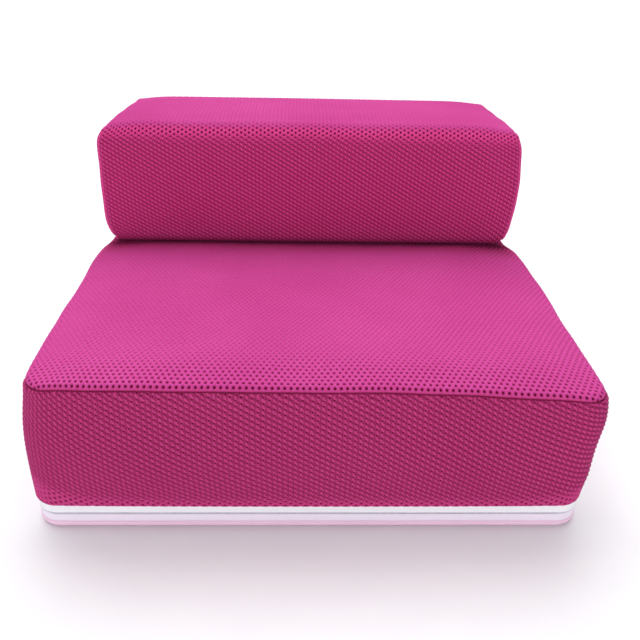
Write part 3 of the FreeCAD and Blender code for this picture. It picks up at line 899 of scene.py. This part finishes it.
def weave(name, colour, shade, rib, bump=8e-5, low=None):
    """Woven cloth with two sets of ribs, painted shade in the hollows between them in patches of uneven dye,
    and another colour near the floor.
    """
    n = Nodes(name)
    uv, place = n.uv(), n.place()
    if low is not None:
        height = n.add("SeparateXYZ", "Z", {"Vector": place})
        colour = n.mix(n.ramp(height, 0.0125, 0.0145, 1.0, 0.0), colour, low)
    cross = n.math("MULTIPLY", n.wave(uv, rib, 0.4, "X"), n.wave(uv, rib * 0.8, 0.4, "Y"))
    # Painted shade in the hollows between the ribs, in patches of uneven dye.
    rib_shade_and_dye = n.math("MULTIPLY", n.ramp(cross, 0.0, 0.8, 1.0, 0.0), n.ramp(n.noise(place, 22.0, 3.0), 0.2, 0.9))
    return n.finish(
        Base_Color=n.mix(rib_shade_and_dye, colour, shade),
        Roughness=n.ramp(n.noise(uv, 700.0), 0.3, 0.7, 0.7, 0.88),
        Normal=n.bump(cross, bump, 0.8),
        Sheen_Weight=0.2,
        Sheen_Roughness=0.5,
    )


def plastic(name, colour, shade, rough):
    """Nylon, rubber or enamel with faint scuffs."""
    n = Nodes(name)
    place = n.place()
    scuff = n.noise(place, 260.0, 4.0, 0.6)
    return n.finish(
        Base_Color=n.mix(n.ramp(scuff, 0.4, 0.75), colour, shade),
        Roughness=n.ramp(scuff, 0.3, 0.75, rough, rough + 0.18),
        Normal=n.bump(n.noise(place, 1400.0), 3e-5, 0.4),
    )


def foam_material():
    """Cream polyurethane foam with open cells."""
    n = Nodes("cream_foam")
    cells = n.add("TexVoronoi", "Distance", {"Vector": n.place(), "Scale": 700.0})
    return n.finish(
        Base_Color=n.mix(n.ramp(cells, 0.1, 0.6), rgb(232, 224, 196), rgb(206, 190, 150)),
        Roughness=n.ramp(cells, 0.1, 0.6, 0.85, 0.97),
        Normal=n.bump(cells, 0.0005, 0.7),
    )


def floor_material():
    n = Nodes("pale_floor")
    fine = n.noise(n.place(), 30.0, 4.0)
    return n.finish(
        Base_Color=n.mix(fine, rgb(240, 240, 242), rgb(236, 236, 239)),
        Roughness=n.ramp(fine, 0.3, 0.7, 0.55, 0.65),
    )


materials = {
    # The upper step's yarn is the lower's painted brighter: painted light for the light on the upper step's
    # front.
    "lower_mesh": mesh_material("lower", rgb(205, 68, 133), rgb(215, 77, 144), rgb(197, 47, 120)),
    "upper_mesh": mesh_material("upper", rgb(226, 73, 147), rgb(234, 80, 156), rgb(216, 51, 131)),
    "tape": weave("white_zip_tape", rgb(252, 252, 255), rgb(238, 236, 246), 620.0, 4e-5, rgb(250, 236, 252)),
    "base": weave("base_cloth_weave", rgb(252, 214, 236), rgb(246, 196, 224), 480.0, 5e-5),
    "hinge": weave("magenta_hinge_tape", rgb(196, 30, 118), rgb(150, 14, 84), 420.0, 15e-5),
    "coil": plastic("white_nylon_coil", rgb(242, 240, 248), rgb(222, 216, 232), 0.38),
    "metal": plastic("white_enamel", rgb(236, 234, 238), rgb(206, 202, 208), 0.28),
    "dots": plastic("grip_dots", rgb(244, 226, 236), rgb(222, 200, 214), 0.5),
    "thread": weave("magenta_thread", rgb(206, 34, 126), rgb(160, 16, 92), 1500.0),
    "foam": foam_material(),
}

# ---- Zips ----

TOOTH_PITCH = 1.35
TOOTH_HALF = np.array([0.46, 1.32, 0.76])
TOOTH_ROUND = 3.2
TOOTH_OVERLAP = 0.28
END_HIDDEN = 3.7
TAPE_STEP = 2.0
TAPE_THICK = 0.45
TAPE_EDGE = 0.3
TAPE_FACE = -1.5
TAPE_BACK = -3.1
SLIT_HALF = 0.75
COIL_MIDDLE = -2.45


def rounded_block(turns=8, tiers=5):
    """Points and triangles of a block two units each way with round edges."""
    tilt = math.pi * np.arange(1, tiers)[:, None] / tiers
    turn = TAU * (np.arange(turns) + 0.5) / turns
    rings = np.stack([np.sin(tilt) * np.cos(turn), np.sin(tilt) * np.sin(turn), 0 * turn - np.cos(tilt)], -1)
    points = np.concatenate([[(0, 0, -1.0)], rings.reshape(-1, 3), [(0, 0, 1.0)]])
    points /= ((np.abs(points) ** TOOTH_ROUND).sum(1) ** (1 / TOOTH_ROUND))[:, None]
    number = closed(np.arange(1, len(points) - 1).reshape(-1, turns))
    quads = grid_faces(number)
    pole = np.zeros(turns, int)
    foot = np.stack([pole, number[0, 1:], number[0, :-1]], 1)
    tip = np.stack([pole + len(points) - 1, number[-1, :-1], number[-1, 1:]], 1)
    return points, np.concatenate([foot, quads[:, :3], quads[:, [0, 2, 3]], tip])


def upper_route(stations):
    """Plane points and outward normals along the back of the upper step."""
    one = np.ones_like(stations)
    return np.stack([stations, one * HALF_DEPTH], 1), np.stack([one * 0, one], 1)


def along_route(shape, route, stations, height, deep=0.0):
    """Points of a shape (along, across, out) at each station of a level route."""
    plane, normal = route(stations)
    one = np.ones((len(stations), 1))
    out = np.concatenate([normal, one * 0], 1)
    across = one * [0.0, 0.0, 1.0]
    centre = np.concatenate([plane, one * height], 1) + out * deep
    axes = (np.cross(across, out), across, out)
    return centre[:, None] + sum(shape[None, :, k, None] * axis[:, None] for k, axis in enumerate(axes))


def sweep(name, stations, route, height, section):
    """A strip of constant section (across, out) along a level route, with flat ends."""
    shape = np.insert(section, 0, 0.0, axis=1)
    thing = tube(name, along_route(shape, route, stations, height), -1)
    add_uv(thing, np.stack([np.repeat(stations, len(section)), np.tile(section.sum(1), len(stations))], 1))
    return thing


def strip_section(path):
    """A bent tape's section with round edges, from the (across, out) points of its outer face."""
    path = np.array(path, float)
    if path[0, 0] > path[-1, 0]:
        path = path[::-1]
    ahead = np.gradient(path, axis=0)
    ahead /= np.linalg.norm(ahead, axis=1)[:, None]
    inward = np.stack([ahead[:, 1], -ahead[:, 0]], 1)
    soft = TAPE_THICK * TAPE_EDGE
    outer, inner = path.copy(), path + inward * TAPE_THICK
    for face in (outer, inner):
        face[0] += ahead[0] * soft
        face[-1] -= ahead[-1] * soft
    start = path[0] + inward[0] * np.array([[soft], [TAPE_THICK - soft]])
    end = path[-1] + inward[-1] * np.array([[TAPE_THICK - soft], [soft]])
    return np.concatenate([start, inner, end, outer[::-1]])


def tape_path(free_edge, hidden_edge, bend):
    """Outer face of a tape: an edge folded at the slit, a flat face, and a bend in behind the mesh."""
    way = 1 if hidden_edge > 0 else -1
    return [
        (free_edge, TAPE_FACE - 0.5),
        (free_edge + way * 0.12, TAPE_FACE - 0.12),
        (free_edge + way * 0.5, TAPE_FACE),
        (bend - way * 0.6, TAPE_FACE),
        (bend, TAPE_FACE - 0.15),
        (bend + way * 2.0, TAPE_BACK),
        (hidden_edge, TAPE_BACK),
    ]


def zip_chain(step, route, middle, ends, tape_ends, paths):
    """Both tapes and coils of a zip, the teeth in the slit between."""
    stations = np.linspace(*tape_ends, int((tape_ends[1] - tape_ends[0]) / TAPE_STEP))
    tooth, faces = rounded_block()
    for side, word in ((-1, "bottom"), (1, "top")):
        section = strip_section(paths[word])
        tape = sweep(f"{step}_{word}_tape", stations, route, middle, section)
        dress(tape, "tape", "zip_tape", step, f"{step}_zip_tape_{word}")
        places = np.arange(ends[0] + TOOTH_PITCH, ends[1] - TOOTH_PITCH, TOOTH_PITCH)
        if side < 0:
            places += TOOTH_PITCH / 2
        shape = tooth * TOOTH_HALF + [0, side * (TOOTH_HALF[1] - TOOTH_OVERLAP), 0]
        coil = copies(f"{step}_{word}_coil", along_route(shape, route, places, middle, COIL_MIDDLE), [faces])
        dress(coil, "coil", "zip_coil", step, f"{step}_zip_coil_{word}")


def zips():
    """The zip round the lower step, the one along the back of the upper step, and their stops."""
    tape_low, tape_high = span("lower_zip_tape_top")
    coil_end = span("lower_zip_coil_top")[1][1]
    middle = (span("lower_zip_tape_bottom")[1][2] + tape_low[2]) / 2
    ends, tape_ends = (
        [lower.outline.place((side * HALF_WIDTH, y)) for side in (-1, 1)] for y in (coil_end, tape_high[1])
    )
    paths = {
        "bottom": tape_path(-SLIT_HALF, BASE_TOP - middle, BASE_TURNED_UP - middle),
        "top": tape_path(SLIT_HALF, tape_high[2] - middle, BAND_FOOT - middle - 0.3),
    }
    zip_chain("lower", lower.outline.along, middle, ends, tape_ends, paths)
    tape_low, tape_high = span("upper_zip_tape_top")
    coil_end = span("upper_zip_coil_top")[1][0]
    middle = (span("upper_zip_tape_bottom")[1][2] + tape_low[2]) / 2
    bend, hidden = SLOT_HIGH - middle - 0.3, tape_high[2] - middle
    paths = {"bottom": tape_path(-SLIT_HALF, -hidden, -bend), "top": tape_path(SLIT_HALF, hidden, bend)}
    tape_end = HALF_WIDTH - END_HIDDEN
    zip_chain("upper", upper_route, middle, (-coil_end, coil_end), (-tape_end, tape_end), paths)
    for word, lifts in (("top_stops", ((-1, 0.46), (1, 0.46))), ("bottom_stop", ((0, 1.0),))):
        for step in ("lower", "upper"):
            zip_stops(step, word, lifts)


def zip_stops(step, word, lifts):
    """The metal stops at an end of a zip, each with its side and its share of their height."""
    node = f"{step}_zip_{word}"
    low, high = span(node)
    half = (high - low) / 2
    unit, faces = rounded_block()
    lift = half * [0, 0, 0.5]
    points = [unit * half * [1, 1, share] + (low + high) / 2 + side * lift for side, share in lifts]
    dress(copies(node + "_piece", np.array(points), [faces]), "metal", "zip_metal", step, node)


# ---- Base cloth and its grip dots ----

BASE_TURNED_UP = 6.3
BASE_FACE = 1.0
BASE_ROUND = 4.0
BASE_THICK = 0.9
BASE_RIM = 0.25
BASE_HIDDEN = 2.6
DOT_HIGH = 0.4
DOT_RADIUS = 1.5
DOT_PITCH = 12.0
DOT_SIDES = 10
DOT_MARGIN = 14


def base_cloth():
    """The cloth underneath, turned up round the foot and tucked in behind the mesh at the back."""
    turn = np.radians(np.linspace(0, 90, 9))
    inset = BASE_FACE + BASE_ROUND * (1 - np.sin(turn))
    height = DOT_HIGH + BASE_ROUND * (1 - np.cos(turn))
    outer = np.concatenate([np.stack([inset, height], 1), [(BASE_FACE, BASE_TURNED_UP - BASE_RIM)]])
    outline = lower.outline
    points, normals = outline.along(np.linspace(0, outline.length(), 420, endpoint=False))
    hidden = BASE_HIDDEN * ease(points[:, 1], BAND_END - 4, BAND_END + 2)
    inner = outer[::-1] + [BASE_THICK, 0.0]
    inner[:, 1] = np.maximum(inner[:, 1], DOT_HIGH + BASE_THICK)
    inner[-1, 0] += 1.0
    rim = [(BASE_FACE + inset, BASE_TURNED_UP) for inset in (BASE_RIM, BASE_THICK - BASE_RIM)]
    rings = []
    for inset, height in (*outer, *rim, *inner):
        plane = points - normals * (inset + hidden)[:, None]
        rings.append(np.insert(plane, 2, height, axis=1))
    rings = np.array(rings)
    thing = tube("base_cloth_sheet", rings, 1)
    add_uv(thing, rings.reshape(-1, 3)[:, :2])
    dress(thing, "base", "base_cloth", "lower", "base_cloth")


def grip_dots():
    """Small rubber dots under the base cloth, which the stair stands on."""
    k = np.arange(DOT_SIDES)
    after = (k + 1) % DOT_SIDES
    turns = TAU * k / DOT_SIDES
    rim = DOT_RADIUS * np.stack([np.cos(turns), np.sin(turns), 0 * turns], 1)
    dot = np.concatenate([rim + [0, 0, DOT_HIGH + 0.1], rim * 0.8 + [0, 0, 0.1], [[0, 0, 0]]])
    sides = np.stack([k, k + DOT_SIDES, after + DOT_SIDES, after], 1)
    tips = np.stack([k + DOT_SIDES, np.full(DOT_SIDES, 2 * DOT_SIDES), after + DOT_SIDES], 1)
    field = RoundBox((HALF_WIDTH - DOT_MARGIN, HALF_DEPTH - DOT_MARGIN), 10.0)
    columns, rows = (int(long / DOT_PITCH) for long in (field.half[0], field.half[1] / ROW_GAP))
    places = lattice(columns + 1, rows, DOT_PITCH).reshape(-1, 2)
    places = places[field.inside(places) > 0]
    points = dot + np.insert(places, 2, 0.0, axis=1)[:, None]
    dress(copies("grip_dots", points, [sides, tips]), "dots", "base_cloth", "lower")


# ---- Hinge tape and its stitching ----

WEAVE_CELL = 0.75
CHEVRON_PITCH = 3.0
CHEVRON_HEIGHT = 0.14
CHEVRON_COLUMN = 6.0
SELVEDGE_HEIGHT = 0.12
TAPE_WAVE = 0.25
STITCH_LONG = 2.7
STITCH_PITCH = 3.3
STITCH_DIP = 0.25
STITCH_INSET = 0.3


def hinge_tape():
    """One herringbone strip over both back faces."""
    leaves = ("hinge_tape_lower_leaf", "hinge_tape_upper_leaf")
    low, high = span(leaves[0])[0], span(leaves[1])[1]
    rows_at = [span(f"hinge_stitching_{step}")[k][2] for step in ("lower", "upper") for k in (0, 1)]
    long, tall = high[0] - low[0], high[2] - low[2]
    columns, rows = int(long / WEAVE_CELL), int(tall / WEAVE_CELL)
    x, z = np.meshgrid(np.linspace(low[0], high[0], columns + 1), np.linspace(low[2], high[2], rows + 1))
    side = np.abs(np.mod(z - low[2], 2 * CHEVRON_COLUMN) - CHEVRON_COLUMN)
    relief = CHEVRON_HEIGHT * np.sin(TAU * (x + side) / CHEVRON_PITCH)
    edge = np.minimum.reduce([x - low[0], high[0] - x, z - low[2], high[2] - z])
    selvedge = SELVEDGE_HEIGHT * np.exp(-((edge - 1.0) ** 2))
    sewn = sum(np.exp(-(((z - row) / 0.7) ** 2)) for row in rows_at)
    soft = ease(edge, -0.4, 0.8)
    wave = TAPE_WAVE * np.sin(TAU * x / 61) * np.exp(-((z - (low[2] + high[2]) / 2) / 8) ** 2)
    front = high[1] - TAPE_WAVE + (relief + selvedge) * soft - 0.3 * sewn + wave - 0.5 * (1 - soft)
    points = [np.stack([x, y, z], -1).reshape(-1, 3) for y in (front, low[1] + 0.1 + wave)]
    number = np.arange(x.size).reshape(x.shape)
    rim = rim_of(number)
    after = np.roll(rim, -1)
    edges = np.stack([rim, rim + x.size, after + x.size, after], 1)
    faces = [grid_faces(number)[:, ::-1], grid_faces(number) + x.size, edges]
    thing = new_mesh("hinge_tape", np.concatenate(points), faces)
    add_uv(thing, np.tile(np.stack([x, z], -1).reshape(-1, 2), (2, 1)))
    thing.data.materials.append(materials["hinge"])
    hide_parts(*leaves)
    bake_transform(thing)


def stitches(step):
    """Two rows of stitches through one leaf of the hinge tape, each dipping at its ends."""
    node = f"hinge_stitching_{step}"
    low, high = span(node)
    unit, faces = rounded_block(tiers=7)
    stitch = unit[:, [2, 0, 1]] * [STITCH_LONG / 2, 0.3, 0.32]
    stitch[:, 1] -= STITCH_DIP * unit[:, 2] ** 2
    along = np.arange(low[0] + STITCH_PITCH / 2, high[0] - STITCH_PITCH / 2, STITCH_PITCH)
    heights = (low[2] + STITCH_INSET, high[2] - STITCH_INSET)
    points = stitch + np.array([(x, high[1] - STITCH_INSET, z) for z in heights for x in along])[:, None]
    thing = copies(f"{step}_stitches", points, [faces])
    add_uv(thing, points.reshape(-1, 3)[:, [0, 2]])
    dress(thing, "thread", "thread", step, node)


# ---- Camera, light and floor ----

CAMERA_LENS = 38.24
CAMERA_TURN = 0.0318
CAMERA_TILT = 0.4803
CAMERA_ROLL = 0.0226
CAMERA_PLACE = (-8.25, -368.7, 363.7)
SKY_STRENGTH = 0.3
SKY_COLOUR = (0.95, 0.97, 1.0, 1.0)
FLOOR_HALF = 60000


def camera():
    """A normal lens in front of the stair, tilted down at it."""
    data = bpy.data.cameras.new("camera")
    data.lens = CAMERA_LENS
    thing = new_thing("camera", data)
    turn, tilt, roll = ((math.cos(a), math.sin(a)) for a in (CAMERA_TURN, CAMERA_TILT, CAMERA_ROLL))
    ahead = np.array([turn[1] * tilt[0], turn[0] * tilt[0], -tilt[1]])
    right = np.array([turn[0], -turn[1], 0.0])
    up = np.cross(right, ahead)
    axes = (roll[0] * right + roll[1] * up, roll[0] * up - roll[1] * right, -ahead)
    matrix = Matrix(np.stack(axes, 1).tolist()).to_4x4()
    matrix.translation = (np.array(CAMERA_PLACE) - [0.0, HALF_DEPTH, 0.0]) * MM
    thing.matrix_world = matrix
    bpy.context.scene.camera = thing


def soft_light(name, path, strength, angle):
    """Even light along a path, from a source as wide as the angle in degrees."""
    data = bpy.data.lights.new(name, "SUN")
    data.energy = strength
    data.angle = math.radians(angle)
    new_thing(name, data).rotation_euler = Vector(path).to_track_quat("-Z", "Y").to_euler()


def studio():
    """Soft light from above and from the front, a pale sky and a pale floor."""
    soft_light("overhead", (0.06, -0.42, -0.9), 3.2, 64)
    soft_light("front", (0.1, 0.93, -0.3), 1.3, 50)
    world = bpy.data.worlds.new("studio")
    world.use_nodes = True
    sky = world.node_tree.nodes["Background"]
    sky.inputs["Color"].default_value = SKY_COLOUR
    sky.inputs["Strength"].default_value = SKY_STRENGTH
    bpy.context.scene.world = world
    bpy.context.scene.view_settings.view_transform = "Standard"
    corners = [(-1, -1, 0), (1, -1, 0), (1, 1, 0), (-1, 1, 0)]
    floor = new_mesh("floor", np.array(corners) * FLOOR_HALF, [np.array([[0, 1, 2, 3]])])
    floor.data.materials.append(floor_material())


camera()
studio()
lower_cover()
upper_cover()
foam_core(lower)
foam_core(upper)
zips()
base_cloth()
grip_dots()
hinge_tape()
for step in ("lower", "upper"):
    stitches(step)
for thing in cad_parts.values():
    thing.data.materials.clear()
    thing.data.materials.append(materials["metal"])
